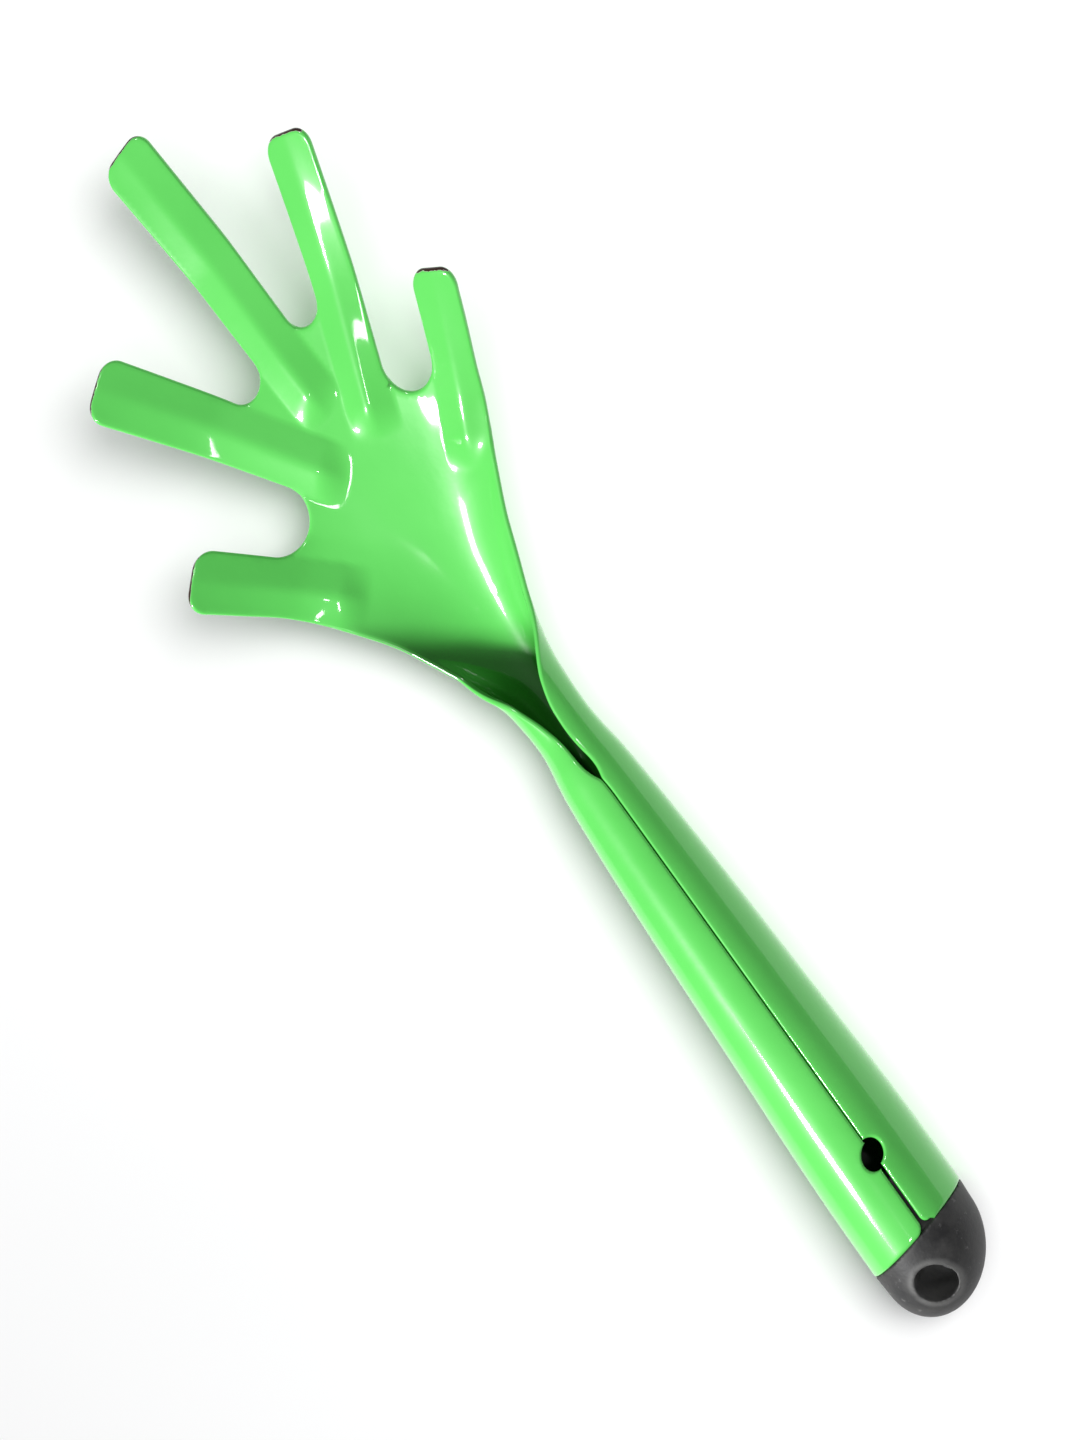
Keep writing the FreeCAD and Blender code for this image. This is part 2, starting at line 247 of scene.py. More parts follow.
plastic, tree, shader = new_material("black_plastic")
mottle = noise(tree, 190.0, 6.0, 0.65)
skin = ramp(tree, mottle, "Fac", [(0.35, PLASTIC_DARK), (0.68, PLASTIC_PALE)])
scuff_noise = noise(tree, 320.0, 3.0, 0.7)
scuff_mask = ramp(tree, scuff_noise, "Fac", [(0.62, grey(0.0)), (0.74, grey(0.7))])
scuffed = blend_colours(tree, scuff_mask, "Color", skin, "Color", SCUFF)
# A pale ring round the hanging hole is a painted highlight on its lip.
lip_place = node(tree, "ShaderNodeAttribute", attribute_name="lip")
patchy_lip_highlight = math_node(tree, "MULTIPLY", (lip_place, "Fac"), (mottle, "Fac"))
lip_highlighted = blend_colours(tree, patchy_lip_highlight, "Value", scuffed, 2, LIP_HIGHLIGHT)
tree.links.new(lip_highlighted.outputs[2], shader.inputs["Base Color"])
matt = ramp(tree, mottle, "Fac", [(0.3, grey(0.50)), (0.7, grey(0.66))])
wire(tree, matt, "Color", shader, "Roughness")
grain = noise(tree, 900.0, 3.0, 0.6)
grain_bump = node(tree, "ShaderNodeBump", {"Strength": 0.22, "Distance": 0.0003})
wire(tree, grain, "Fac", grain_bump, "Height")
wire(tree, grain_bump, "Normal", shader, "Normal")
print("made", plastic.name)

# %% [markdown]
# ## The sheet that everything is made from
# The rake body starts as a flat blank of steel. A press dishes the palm, presses a
# ridge along each finger and bends the fingers up at their knuckles, and then the
# lower part is rolled until its two edges meet in a seam. A frame node holds that
# shape with square edges. We form the blank again here, point by point, because
# then every edge can carry the soft, rounded rim that thick enamel gives it, and
# the paint can know how far it is from an edge. All sizes in this step are in
# millimetres, measured along the handle from the rim of the tube.

# %% Sizes of the sheet and the tube
import numpy as np

SHEET = 1.5
MID = SHEET / 2
END_RADIUS = 15.0
SEAM_TURN = 24.0
SEAM_GAP = 0.8
SEAM_HAIRLINE = 0.14
SEAM_SLIP = 0.8
SEAM_CORNER = 2.0
SEAM_HOLE_RADIUS = 3.3
SEAM_HOLE_AT = 20.0
HOLE_MOUTH = math.asin(0.12)    # angle that the seam's gap takes off each half circle
HOLE_POINTS = 22
HOLE_TO_HAIRLINE = 4.0          # length over which the gap narrows past the hole
TURN_BACK_AT = 118.0            # where the seam begins to turn back to the middle
TURN_BACK_LENGTH = 30.0
OPENS_AFTER = 112.0
FINGER_TAPER = 0.7
TIP_CORNER = 4.0
LAST_AT = 304.0
LEAN = math.tan(math.radians(15.0))
LENGTH_FACTOR = 1.057


def smooth(x):
    """0 to 1 with level ends."""
    x = np.clip(x, 0.0, 1.0)
    return x * x * (3 - 2 * x)


def curve(points):
    """A smooth function through given points, without overshoot."""
    xs, ys = (np.array(column, float) for column in zip(*points))
    widths = np.diff(xs)
    steps = np.diff(ys) / widths
    slopes = np.empty(len(xs))
    slopes[0] = steps[0]
    slopes[-1] = steps[-1]
    before, after = steps[:-1], steps[1:]
    same_way = before * after > 0
    total = np.where(same_way, before + after, 1.0)
    slopes[1:-1] = np.where(same_way, 2 * before * after / total, 0.0)

    def value(x):
        x = np.clip(x, xs[0], xs[-1])
        i = np.clip(np.searchsorted(xs, x, side="right") - 1, 0, len(steps) - 1)
        t = (x - xs[i]) / widths[i]
        rise = ys[i + 1] - ys[i]
        a = slopes[i] * widths[i] - rise
        b = rise - slopes[i + 1] * widths[i]
        return ys[i] + t * rise + t * (1 - t) * (a * (1 - t) + b * t)

    return value


print("sheet", SHEET, "mm, tube", 2 * END_RADIUS, "mm across at its rim")

# %% [markdown]
# ## Fingers
# Five straight fingers fan out from the palm. Each is known by the place of its
# tip, its angle to the handle and a few lengths. The two on the right are mirror
# copies of the two on the left.

# %% The five fingers


class Finger:
    def __init__(self, tip_at, tip_side, turn, width, knuckle, ridge):
        self.tip = (tip_at, tip_side)
        self.turn = math.radians(turn)
        self.half = width / 2
        self.knuckle = knuckle
        self.ridge = ridge

    def local(self, along, side):
        """Distance beyond the tip and distance to the left of the finger's axis."""
        u = along - self.tip[0]
        v = side - self.tip[1]
        c, s = math.cos(self.turn), math.sin(self.turn)
        return u * c + v * s, v * c - u * s

    def point(self, beyond, across):
        c, s = math.cos(self.turn), math.sin(self.turn)
        return np.array((self.tip[0] + beyond * c - across * s,
                         self.tip[1] + beyond * s + across * c))

    def edge(self, side):
        angle = self.turn + side * math.radians(FINGER_TAPER)
        return self.point(0, side * self.half), np.array((math.cos(angle), math.sin(angle)))

    def mirrored(self):
        turn = math.degrees(-self.turn)
        return Finger(self.tip[0], -self.tip[1], turn, 2 * self.half, self.knuckle, self.ridge)


centre = Finger(296.0, 0.0, 0.0, 14.0, 30.0, 73.0)
middle = Finger(267.5, 36.6, 28.7, 13.2, 29.0, 64.0)
outer = Finger(223.4, 45.8, 38.5, 12.6, 25.0, 42.0)
FINGERS = [outer.mirrored(), middle.mirrored(), centre, middle, outer]
NOTCHES_AT = [217.9, 244.6, 244.6, 217.9]
print(len(FINGERS), "fingers")

# %% [markdown]
# ## How the press and the rolls shape the blank
# Four curves say it all: how tightly the sheet is bent across the handle, how high
# its middle line runs, how wide the flat blank is, and how far the seam has turned
# round the tube. A point of the flat blank then has one place in space.

# %% The forming curves
LEAVES_TUBE_AT = 130.0

bend_radius = curve([
    (0, END_RADIUS - MID), (16, 14.15), (60, 12.45), (98, 10.65), (124, 8.85),
    (138, 7.15), (148, 7.75), (162, 12.8), (177, 28), (188, 52), (200, 92), (LAST_AT, 92),
])
middle_line = curve([
    (LEAVES_TUBE_AT, -float(bend_radius(LEAVES_TUBE_AT))), (148, -7.6), (162, -6.8), (177, -4.4),
    (200, 0.8), (228, 7.0), (242, 9.2), (266, 11.4), (LAST_AT, 13.8),
])


def height_of_middle(along):
    return np.where(along < LEAVES_TUBE_AT, -bend_radius(along), middle_line(along))


def side_of_head(along):
    """Half width of the blank where it follows the outer finger's long edge."""
    (at, side), (run, rise) = outer.edge(1)
    offset = side + (along - at) * rise / run
    radius = float(bend_radius(float(along)))
    return radius * math.asin(min(offset / radius, 1.0))


open_half = curve([
    (OPENS_AFTER, 37.0), (123, 27.9), (130, 23.9), (138, 20.9), (143, 20.3), (148, 19.5),
    (153, 18.5), (158, 17.6), (162, 17.3), (166, 18.3), (177, 22.0), (188, 28.0),
    (202, side_of_head(202)), (211, side_of_head(211)), (220, side_of_head(220)), (227, side_of_head(227)),
    (240, 60.0), (LAST_AT, 60.0),
])


def half_of_blank(along):
    past_hole = smooth((along - SEAM_HOLE_AT) / HOLE_TO_HAIRLINE + 0.5)
    gap = SEAM_GAP + (SEAM_HAIRLINE - SEAM_GAP) * past_hole
    closed = math.pi * bend_radius(along) - gap / 2
    return np.where(along < OPENS_AFTER, closed, np.minimum(closed, open_half(along)))


def seam_turn(along):
    return math.radians(SEAM_TURN) * (1 - smooth((along - TURN_BACK_AT) / TURN_BACK_LENGTH))


print("narrowest neck", round(2 * float(bend_radius(138.0)) + SHEET, 1), "mm across")

# %% [markdown]
# ## Ridges and knuckles
# A pressed ridge stiffens each finger. It grows out of the palm and fades toward
# the tip. Beyond its knuckle the finger turns up a little.

# %% The forming law
KNUCKLE_BEND = math.radians(11.0)
KNUCKLE_ROUND = 3.0
RIDGE_HEIGHT = 2.6
RIDGE_TIP_HEIGHT = 0.5
RIDGE_HALF_WIDTH = 6.6
RIDGE_ROUND = 0.08
RIDGE_RUN_IN = 8.0
BEND_MARGIN = 1.5          # how far a knuckle bend reaches past the finger's sides
BEND_FADE = 4.5            # width over which it fades from there
PRESSED_FROM = 170.0       # nothing is pressed into the handle below this


def pressed(along, side):
    """Height that the ridges and the knuckle bends add to the bare dish."""
    total = np.zeros_like(along)
    for finger in FINGERS:
        beyond, across = finger.local(along, side)
        reach = np.abs(across)
        window = 1 - smooth((reach - finger.half - BEND_MARGIN) / BEND_FADE)
        d = beyond + finger.knuckle
        bent = (d + np.hypot(d, KNUCKLE_ROUND)) / 2
        total += window * bent * math.tan(KNUCKLE_BEND)
        grown = smooth((beyond + finger.ridge) / RIDGE_RUN_IN)
        toward_tip = np.clip(1 + beyond / finger.ridge, 0.0, 1.0)
        height = RIDGE_HEIGHT + (RIDGE_TIP_HEIGHT - RIDGE_HEIGHT) * toward_tip
        full = math.hypot(1, RIDGE_ROUND)
        here = np.hypot(reach / RIDGE_HALF_WIDTH, RIDGE_ROUND)
        bump = height * (full - here) / (full - RIDGE_ROUND)
        total += np.where(reach < RIDGE_HALF_WIDTH, grown * bump, 0.0)
    return total


def formed(along, a):
    """The place in space of a point of the flat blank, at `a` from its middle."""
    radius = bend_radius(along)
    angle = a / radius + seam_turn(along)
    y = radius * np.sin(angle)
    z = height_of_middle(along) + radius * (1 - np.cos(angle))
    z = z + np.where(along > PRESSED_FROM, pressed(along, y), 0.0)
    return np.stack([along, y, z], axis=-1)


def formed_normal(along, a):
    """Unit normal toward the open side."""
    step = 0.05
    ahead = formed(along + step, a) - formed(along - step, a)
    left = formed(along, a + step) - formed(along, a - step)
    normal = np.cross(ahead, left)
    return normal / np.linalg.norm(normal, axis=-1, keepdims=True)


print("middle of the palm at", formed(np.array([200.0]), np.array([0.0]))[0].round(1))

# %% [markdown]
# ## Outline of the flat blank
# The outline is cut before anything is bent. It runs up one long edge of the
# handle, round the five fingers and the four round notches between them, and back
# down the other long edge. Two half circles near the rim become one round hole
# when the edges meet.

# %% Outline
STEP = 0.7                 # distance between two points of the outline


def run(start, end):
    """Points of a straight line, without its last one."""
    start, end = np.asarray(start, float), np.asarray(end, float)
    count = max(2, int(np.linalg.norm(end - start) / STEP))
    t = np.arange(count)[:, None] / count
    return start + (end - start) * t


def arc(middle_point, start, end, inward=None):
    """Points of an arc from start to end, without its last one."""
    a0 = math.atan2(start[1] - middle_point[1], start[0] - middle_point[0])
    a1 = math.atan2(end[1] - middle_point[1], end[0] - middle_point[0])
    turn = (a1 - a0 + math.pi) % (2 * math.pi) - math.pi
    if inward and turn * inward < 0:
        turn += inward * 2 * math.pi
    radius = math.dist(middle_point, start)
    count = max(6, int(abs(turn) * radius / (0.7 * STEP)))
    angles = a0 + turn * np.arange(count) / count
    ring = np.stack([np.cos(angles), np.sin(angles)], axis=-1)
    return np.asarray(middle_point) + radius * ring


def foot(point, line):
    at, direction = line
    return at + direction * np.dot(np.asarray(point) - at, direction)


def notch_points(low, high, centre_at):
    """The round notch between two neighbouring fingers."""
    edge_low, edge_high = low.edge(1), high.edge(-1)
    sides = np.stack([edge_low[1], -edge_high[1]], axis=-1)
    t = np.linalg.solve(sides, edge_high[0] - edge_low[0])
    apex = edge_low[0] + t[0] * edge_low[1]
    way = edge_low[1] + edge_high[1]
    hub = apex + way * (centre_at - apex[0]) / way[0]
    start, end = foot(hub, edge_low), foot(hub, edge_high)
    return start, end, hub


def to_blank(plan):
    """From the plan of the formed head to the flat blank."""
    radius = bend_radius(plan[:, 0])
    turn = seam_turn(plan[:, 0])
    a = radius * (np.arcsin(np.clip(plan[:, 1] / radius, -1, 1)) - turn)
    return np.stack([plan[:, 0], a], axis=-1)


def head_plan():
    """Fingers and notches in plan, from the right outer finger to the left one."""
    parts = []
    last = None
    for i, finger in enumerate(FINGERS):
        r = TIP_CORNER
        low_side = finger.point(-r, -finger.half)
        low_end = finger.point(0, -finger.half + r)
        high_end = finger.point(0, finger.half - r)
        high_side = finger.point(-r, finger.half)
        if last is not None:
            parts.append(run(last, low_side))
        parts.append(arc(finger.point(-r, -finger.half + r), low_side, low_end))
        parts.append(run(low_end, high_end))
        parts.append(arc(finger.point(-r, finger.half - r), high_end, high_side))
        last = high_side
        if i + 1 < len(FINGERS):
            start, end, hub = notch_points(finger, FINGERS[i + 1], NOTCHES_AT[i])
            parts.append(run(high_side, start))
            parts.append(arc(hub, start, end, inward=-1))
            last = end
    parts.append(last[None, :])
    return np.concatenate(parts)


def long_edge(side, until):
    """One long edge of the handle from the rim upward; side is +1 or -1."""
    slip = SEAM_SLIP if side < 0 else 0.0
    hole_at = SEAM_HOLE_AT + slip
    reach = math.sqrt(SEAM_HOLE_RADIUS ** 2 - (SEAM_GAP / 2) ** 2)

    def edge(at):
        at = np.asarray(at, float)
        return np.stack([at, half_of_blank(at)], axis=-1)

    r = SEAM_CORNER
    corner_edge = float(half_of_blank(slip + r))
    hub = (slip + r, corner_edge - r)
    rounded = arc(hub, (slip, corner_edge - r), (slip + r, corner_edge))
    below = edge(np.arange(slip + r, hole_at - reach - STEP / 2, STEP))
    seam_middle = float(half_of_blank(hole_at - reach)) + SEAM_GAP / 2
    angles = np.linspace(math.pi + HOLE_MOUTH, 2 * math.pi - HOLE_MOUTH, HOLE_POINTS)
    ring = np.stack([np.cos(angles), np.sin(angles)], axis=-1)
    hole = np.array((hole_at, seam_middle)) + SEAM_HOLE_RADIUS * ring
    above = edge(np.arange(hole_at + reach + STEP / 2, until - STEP / 2, STEP))
    points = np.concatenate([rounded, below, hole, above])
    points[:, 1] *= side
    return points


head = to_blank(head_plan())
left_edge = long_edge(1, head[-1][0])
right_edge = long_edge(-1, head[0][0])
outline = np.concatenate([
    right_edge, head, left_edge[::-1],
    run((0.0, left_edge[0][1]), (0.0, right_edge[0][1])),
])
print(len(outline), "points round the blank")

# %% [markdown]
# ## A mesh on the blank
# A Delaunay triangulation fills the outline with well-shaped triangles. We add
# rings of points just inside the outline, because the rounded rim bends sharply
# there, and a regular lattice over the rest. The same flat mesh then becomes the
# top skin and the bottom skin. Both run together at the outline, so the sheet is
# closed without any side faces.
#
# A shape that follows a rule is a natural task for Geometry Nodes, and their Fill
# Curve node does fill an outline with triangles. But it puts no points inside the
# outline, and a sheet without them can't bend. We want rings along the edge as well
# as a lattice, so this piece is made as a mesh in code.

# %% Triangulate
from mathutils.geometry import delaunay_2d_cdt
from mathutils.kdtree import KDTree

LATTICE = 0.95             # distance between two points of the lattice
BLANK_FROM, BLANK_TO = 0.5, 297.0
BLANK_HALF_WIDTH = 62.0
LATTICE_CLEARANCE = 0.35   # the lattice keeps this far from the innermost ring
RIM_ROUND = 0.7            # how far in from an edge the enamel is rounded
RINGS = (0.08, 0.3, 0.65, 1.0)


def inward(points):
    """Unit vectors that point into the blank, for a counterclockwise outline."""
    way = np.roll(points, -1, axis=0) - np.roll(points, 1, axis=0)
    way /= np.linalg.norm(way, axis=1, keepdims=True)
    return np.stack([-way[:, 1], way[:, 0]], axis=-1)


signed = 0.5 * np.sum(
    outline[:, 0] * np.roll(outline[:, 1], -1) - np.roll(outline[:, 0], -1) * outline[:, 1]
)
if signed < 0:
    outline = outline[::-1]
into = inward(outline)
rings = [outline + into * RIM_ROUND * share for share in RINGS]
tree_of_edge = KDTree(len(outline))
for i, (u, v) in enumerate(outline):
    tree_of_edge.insert((u, v, 0.0), i)
tree_of_edge.balance()


def distance_to_edge(points):
    """Distance to the outline, along the outline's own inward direction."""
    result = np.empty(len(points))
    for k, (u, v) in enumerate(points):
        _, i, _ = tree_of_edge.find((u, v, 0.0))
        far = np.hypot(u - outline[i][0], v - outline[i][1])
        square = (u - outline[i][0]) * into[i][0] + (v - outline[i][1]) * into[i][1]
        result[k] = square if far < 3 * STEP else far
    return result


columns = np.arange(BLANK_FROM, BLANK_TO, LATTICE * math.sqrt(3) / 2)
lattice = []
for j, at in enumerate(columns):
    start = -BLANK_HALF_WIDTH + (LATTICE / 2 if j % 2 else 0.0)
    for a in np.arange(start, BLANK_HALF_WIDTH, LATTICE):
        lattice.append((at, a))
lattice = np.array(lattice)
inner = lattice[distance_to_edge(lattice) > RIM_ROUND + LATTICE_CLEARANCE]
ring_points = np.concatenate(rings)
candidates = np.concatenate([outline, ring_points, inner])
count = len(outline)
edges = [(i, (i + 1) % count) for i in range(count)]
flat, _, triangles, _, _, _ = delaunay_2d_cdt(
    [Vector(p) for p in candidates.tolist()], edges, [], 1, 1e-6
)
flat = np.array([tuple(v) for v in flat])
print("flat mesh", len(flat), "points,", len(triangles), "triangles")

# %% [markdown]
# ## Bend the blank into the rake
# Every flat point is placed by the forming law and then moved half a sheet up or
# down along the normal. Near an edge that half gets smaller, like a quarter
# ellipse, so the rim comes out round. The whole tool leans a little to one side,
# so each point is last slid along the handle in step with its place across it.

# %% Form the skins
from_edge = distance_to_edge(flat)
at_edge = np.zeros(len(flat), bool)
for k, (u, v) in enumerate(flat):
    _, _, gap_here = tree_of_edge.find((u, v, 0.0))
    at_edge[k] = gap_here < 1e-4
from_edge[at_edge] = 0.0
share = np.clip(from_edge / RIM_ROUND, 0.0, 1.0)
half_sheet = MID * np.sqrt(np.clip(1 - (1 - share) ** 2, 0.0, 1.0))
spine = formed(flat[:, 0], flat[:, 1])
normal = formed_normal(flat[:, 0], flat[:, 1])
normal[flat[:, 0] < 0.3, 0] = 0.0
top = spine + normal * half_sheet[:, None]
bottom = spine - normal * half_sheet[:, None]

COLLAR_LENGTH = 4.6        # nearly straight part of the plug outside the tube
DOME_LENGTH = 15.0         # rounded end of the plug
DOME_RADIUS = 14.6
corner_side = centre.half - TIP_CORNER
side_reach = LEAN * corner_side + TIP_CORNER * math.hypot(LENGTH_FACTOR, LEAN)
front = LENGTH_FACTOR * (centre.tip[0] - TIP_CORNER) + side_reach
dome_reach = math.hypot(LENGTH_FACTOR * DOME_LENGTH, LEAN * DOME_RADIUS)
rear = -LENGTH_FACTOR * COLLAR_LENGTH - dome_reach


def leaned(points):
    """From the square tool to the finished one, in metres."""
    x = LENGTH_FACTOR * points[:, 0] - LEAN * points[:, 1] - (front + rear) / 2
    placed = np.stack([x, points[:, 1], points[:, 2] + END_RADIUS], axis=-1) * MM
    return np.clip(placed, np.array(body_low), np.array(body_high))


area = []
for a, b, c in triangles:
    u, v, w = flat[a], flat[b], flat[c]
    area.append((v[0] - u[0]) * (w[1] - u[1]) - (v[1] - u[1]) * (w[0] - u[0]))
faces = [tuple(t) if s > 0 else tuple(t)[::-1] for t, s in zip(triangles, area)]
place_of_bottom = np.arange(len(flat)) + len(flat)
place_of_bottom[at_edge] = np.nonzero(at_edge)[0]
low_faces = [tuple(int(place_of_bottom[i]) for i in face[::-1]) for face in faces]
points = np.concatenate([leaned(top), leaned(bottom)])
keep = np.zeros(len(points), bool)
keep[np.unique(np.array(faces + low_faces))] = True
new_place = np.cumsum(keep) - 1
all_faces = [tuple(int(new_place[i]) for i in face) for face in faces + low_faces]
body_mesh = bpy.data.meshes.new("rake")
body_mesh.from_pydata(points[keep].tolist(), [], all_faces)
body_mesh.update()
body_mesh.shade_smooth()
print("rake body:", len(body_mesh.vertices), "points,", len(all_faces), "triangles")

# %% [markdown]
# Paint needs to know where the finger tips and the sheet's edges are. We store
# numbers with each point: the distance from the nearest edge and from the nearest
# finger tip, both in millimetres, and how much painted shade the throat gets.

# %% Store the distances
NO_TIP_NEAR = 99.0         # stored where no finger tip is near
TIP_MARGIN = 0.8
TIP_LENGTH = 30.0          # how far down a finger its tip distance is stored
DARK_FROM = 166.0          # middle of the palm's end where the painted shade begins
DARK_SLANT = 0.95          # how much further up the painted shade reaches on the far wall
NEAR_WALL_SHARE = 0.35
DARK_FADE = 13.0

beyond_all = np.full(len(flat), NO_TIP_NEAR)
plan_y = spine[:, 1]
for finger in FINGERS:
    beyond, across = finger.local(flat[:, 0], plan_y)
    near = (np.abs(across) < finger.half + TIP_MARGIN) & (beyond > -TIP_LENGTH)
    beyond_all = np.where(near, np.minimum(beyond_all, -beyond), beyond_all)
# Painted shade for the throat: stronger deeper in, and reaching further up the +Y wall, where that wall's
# shadow would fall.
far_side = np.maximum(flat[:, 1], NEAR_WALL_SHARE * flat[:, 1])
painted_shade_amount = smooth((DARK_FROM + DARK_SLANT * far_side - flat[:, 0]) / DARK_FADE)
outside = np.zeros(len(flat))
stored = {
    "edge_distance": (from_edge, from_edge),
    "tip_distance": (beyond_all, beyond_all),
    "painted_shade": (np.where(at_edge, 0.0, painted_shade_amount), outside),
}
for name, (upper, lower) in stored.items():
    both = np.concatenate([upper, lower])[keep].astype(np.float32)
    layer = body_mesh.attributes.new(name, "FLOAT", "POINT")
    layer.data.foreach_set("value", both)
rake = bpy.data.objects.new("rake", body_mesh)
bpy.context.collection.objects.link(rake)
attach(rake, "root")
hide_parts("rake_body")
print("stored edge and tip distances")

# %% [markdown]
# ## The plug in the end of the handle
# A moulded plug has no sharp edge anywhere: the mould's own edges are rounded, and
# the lip of the hanging hole is worn rounder still. The frame's plug has the right
# form with sharp edges. We merge its loose triangles, rebuild its surface from
# small even cells with a voxel Remesh, and let a Smooth modifier relax them, which
# rounds each edge by about half a millimetre and leaves the rest where it was.

# %% Round the plug
import bmesh

CELL = 0.4 * MM
RELAX_STEPS = 5

sharp = bmesh.new()
sharp.from_mesh(bpy.data.objects["end_cap"].data)
bmesh.ops.remove_doubles(sharp, verts=sharp.verts, dist=0.01 * MM)
corners_in = [tuple(vertex.co) for vertex in sharp.verts]
sharp.verts.index_update()
faces_in = [[vertex.index for vertex in face.verts] for face in sharp.faces]
sharp.free()
rough_mesh = bpy.data.meshes.new("plug_rough")
rough_mesh.from_pydata(corners_in, [], faces_in)
plug = bpy.data.objects.new("plug", rough_mesh)
bpy.context.collection.objects.link(plug)
remesh = plug.modifiers.new("even_cells", "REMESH")
remesh.mode = "VOXEL"
remesh.voxel_size = CELL
relax = plug.modifiers.new("relax", "SMOOTH")
relax.iterations = RELAX_STEPS
relax.factor = 0.5
graph = bpy.context.evaluated_depsgraph_get()
plug_mesh = bpy.data.meshes.new_from_object(plug.evaluated_get(graph))
plug.modifiers.clear()
plug.data = plug_mesh
plug_mesh.shade_smooth()
print("plug:", len(plug_mesh.vertices), "points,", len(plug_mesh.polygons), "faces")

# %% [markdown]
# The lip of the hole gets a painted highlight: a pale ring. An attribute named
# `lip` is 1 on that ring and fades to 0 about a millimetre and a half away.

# %% Mark the lip of the hole
LIP_WIDTH = 1.5 * MM
LIP_OUT = 0.4 * MM         # the rubbed ring lies this far outside the bore
BORE_SLACK = 0.1 * MM

hang_hole = frame["record"]["mounts"][0]
mount = hang_hole["pos_m"]
HOLE_RADIUS = hang_hole["dims"]["r_mm"] * MM
place_of = np.empty(len(plug_mesh.vertices) * 3)
plug_mesh.vertices.foreach_get("co", place_of)
place_of = place_of.reshape(-1, 3)
from_axis = np.hypot(place_of[:, 0] - mount[0], place_of[:, 1] - mount[1])
lip = smooth(1.2 - np.abs(from_axis - HOLE_RADIUS - LIP_OUT) / LIP_WIDTH)
lip *= from_axis > HOLE_RADIUS - BORE_SLACK
layer = plug_mesh.attributes.new("lip", "FLOAT", "POINT")
layer.data.foreach_set("value", lip.astype(np.float32))
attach(plug, "root")
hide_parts("end_cap")
print("lip on", int((lip > 0.5).sum()), "points")

# %% [markdown]
# ## Dress the pieces
# Each piece gets its material.

# %% Give the materials to the pieces
for name, material in (("rake", enamel), ("plug", plastic)):
    piece = bpy.data.objects[name]
    piece.data.materials.clear()
    piece.data.materials.append(material)
    print(name, "wears", material.name)

# %% [markdown]
# ## Floor
# The rake lies on a plain, pale sheet. A large square floor is enough; it is the
# stage, not a part of the rake.

# %% Floor
FLOOR_HALF = 3.0

floor_mesh = bpy.data.meshes.new("studio_floor")
corners = [(-1, -1), (1, -1), (1, 1), (-1, 1)]
low_z = cad_box[0][2]
points = [(x * FLOOR_HALF, y * FLOOR_HALF, low_z) for x, y in corners]
floor_mesh.from_pydata(points, [], [(0, 1, 2, 3)])
studio_floor = bpy.data.objects.new("studio_floor", floor_mesh)
bpy.context.collection.objects.link(studio_floor)
paper, tree, shader = new_material("white_paper")
paper_noise = noise(tree, 3.0, 2.0)
paper_tint = ramp(tree, paper_noise, "Fac", [(0.3, grey(0.86)), (0.7, grey(0.90))])
wire(tree, paper_tint, "Color", shader, "Base Color")
shader.inputs["Roughness"].default_value = 0.8
floor_mesh.materials.append(paper)
print("floor at z =", low_z)

# %% [markdown]
# ## Camera
# The camera stands over the rake and looks down on the open side of the palm. It is
# set up from the rake's own directions: how far the view is rolled about the
# handle, how far it is tipped along the handle, and how the handle lies in the
# view. Those angles give the camera's back, right and up directions. The camera
# then steps a few millimetres aside, and its lens follows from the height of the
# view at the aim point.

# %% Camera
ROLL = math.radians(18.8)       # view rolled about the handle
TIP = math.radians(1.68)        # view tipped toward the fingers
TURN = math.radians(54.57)      # the handle's slope in the view
DISTANCE = 867.6 * MM           # from the aim point
VIEW_TALL = 337.063 * MM        # height of the view at the aim point
STEP_RIGHT = 2.762 * MM
STEP_DOWN = 5.477 * MM
AIM = Vector((10.0, 0.0, 22.0)) * MM
SENSOR = 36.0                   # the camera's sensor, in the lens's own millimetres

lean = Vector((0.0, -math.sin(ROLL), math.cos(ROLL)))
across = Vector((0.0, math.cos(ROLL), math.sin(ROLL)))
handle = Vector((1.0, 0.0, 0.0))
back = math.cos(TIP) * lean + math.sin(TIP) * handle
along = math.cos(TIP) * handle - math.sin(TIP) * lean
right = -math.cos(TURN) * along - math.sin(TURN) * across
up = math.sin(TURN) * along - math.cos(TURN) * across
place = AIM + back * DISTANCE + right * STEP_RIGHT - up * STEP_DOWN

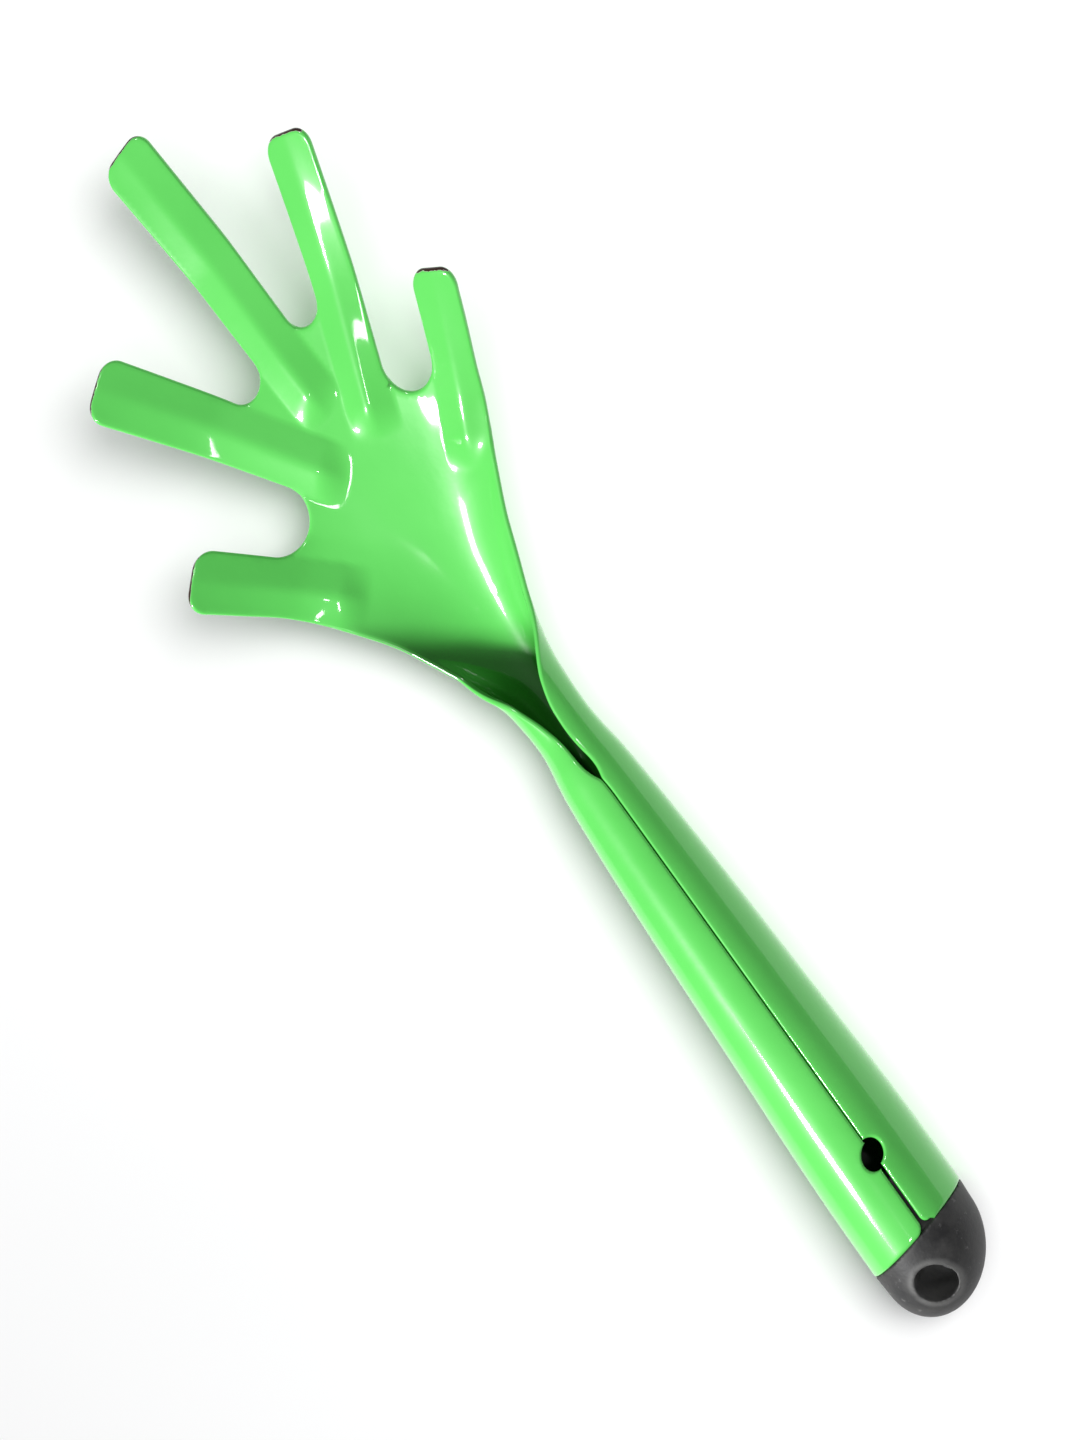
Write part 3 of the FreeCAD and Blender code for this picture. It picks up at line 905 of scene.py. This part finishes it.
camera_data = bpy.data.cameras.new("camera")
camera_data.sensor_width = SENSOR
camera_data.lens = SENSOR * DISTANCE / VIEW_TALL
camera = bpy.data.objects.new("camera", camera_data)
bpy.context.collection.objects.link(camera)
facing = Matrix((right, up, back)).transposed()
camera.matrix_world = Matrix.Translation(place) @ facing.to_4x4()
bpy.context.scene.camera = camera
print("camera at", tuple(round(v, 3) for v in place), "lens", round(camera_data.lens, 1))

# %% [markdown]
# ## Light
# A soft light on the lower left of the view shines on the rake. It makes the left
# half of the handle bright, leaves the throat of the palm in shade and draws a long
# highlight on the far wall of the palm. A weaker one below adds small glints on the
# ridges, and a small one on the upper left fills the shade. Two more shine on the
# floor only: a very broad one from the camera's side keeps it pale, and a smaller
# one on the upper right throws the rake's shadow to the lower left. Light linking,
# with one collection for each light, says which pieces a light reaches. So the
# shadow and the shading don't come from the same lamp, as they would in a room.

# %% Lights


def soft_light(name, toward, distance, size, power, shines_on):
    """A square light that looks at the middle of the rake."""
    data = bpy.data.lights.new(name, "AREA")
    data.size = size
    data.energy = power
    light = bpy.data.objects.new(name, data)
    bpy.context.collection.objects.link(light)
    light.location = AIM + toward.normalized() * distance
    light.rotation_euler = toward.to_track_quat("Z", "Y").to_euler()
    reached = bpy.data.collections.new(name + "_reaches")
    for piece in shines_on:
        reached.objects.link(piece)
    light.light_linking.receiver_collection = reached
    print(name, "at", tuple(round(v, 2) for v in light.location))
    return light


on_rake = [rake, plug]
on_floor = [studio_floor]
soft_light("key_light", -right * 0.54 - up * 0.695 + back * 0.45, 1.0, 0.13, 11.6, on_rake)
soft_light("second_light", -right * 0.04 - up * 0.54 + back * 0.84, 1.0, 0.08, 0.7, on_rake)
soft_light("front_light", -right * 0.45 + up * 0.35 + back * 1.3, 1.2, 0.14, 3.0, on_rake)
soft_light("floor_fill", back, 1.6, 1.5, 19.0, on_floor)
soft_light("floor_light", right * 0.22 + up * 0.17 + back * 1.3, 1.6, 0.6, 16.5, on_floor)

world = bpy.data.worlds.new("studio_world")
world.use_nodes = True
world.node_tree.nodes["Background"].inputs["Color"].default_value = (0.97, 0.98, 1.0, 1.0)
world.node_tree.nodes["Background"].inputs["Strength"].default_value = 0.21
bpy.context.scene.world = world
bpy.context.scene.view_settings.view_transform = "Standard"
